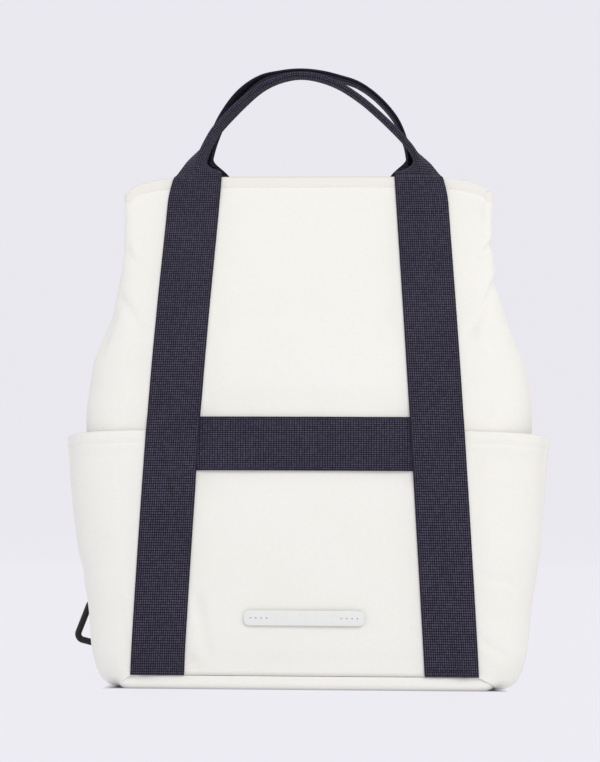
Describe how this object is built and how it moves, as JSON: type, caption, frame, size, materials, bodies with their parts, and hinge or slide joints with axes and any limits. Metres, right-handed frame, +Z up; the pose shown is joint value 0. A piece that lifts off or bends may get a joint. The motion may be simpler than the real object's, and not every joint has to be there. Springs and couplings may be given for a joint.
{
  "type": "convertible backpack",
  "caption": "Cloth tote that also carries as a backpack, with open side pockets, webbing straps that form the hand loops, and shoulder straps on rings.",
  "frame": {"origin": "middle of the flat underside", "axes": "+Z up, front faces -Y, +X to the right of someone who looks at the front"},
  "size_m": [0.3836, 0.2237, 0.4871],
  "materials": {
    "cloth": "plain off-white canvas with a matt coating",
    "webbing": "dark navy webbing with a square weave",
    "plate": "pale satin",
    "ring": "satin black"
  },
  "bodies": {
    "root": {"front_panel": "cloth", "back_panel": "cloth", "left_side": "cloth", "right_side": "cloth", "base": "cloth", "left_pocket": "cloth", "right_pocket": "cloth", "front_webbing": "webbing", "back_webbing": "webbing", "cross_strap": "webbing", "left_ring_tab": "webbing", "right_ring_tab": "webbing", "left_shoulder_strap": "webbing", "right_shoulder_strap": "webbing", "name_plate": "plate", "left_ring": "ring", "right_ring": "ring"}
  },
  "joints": []
}
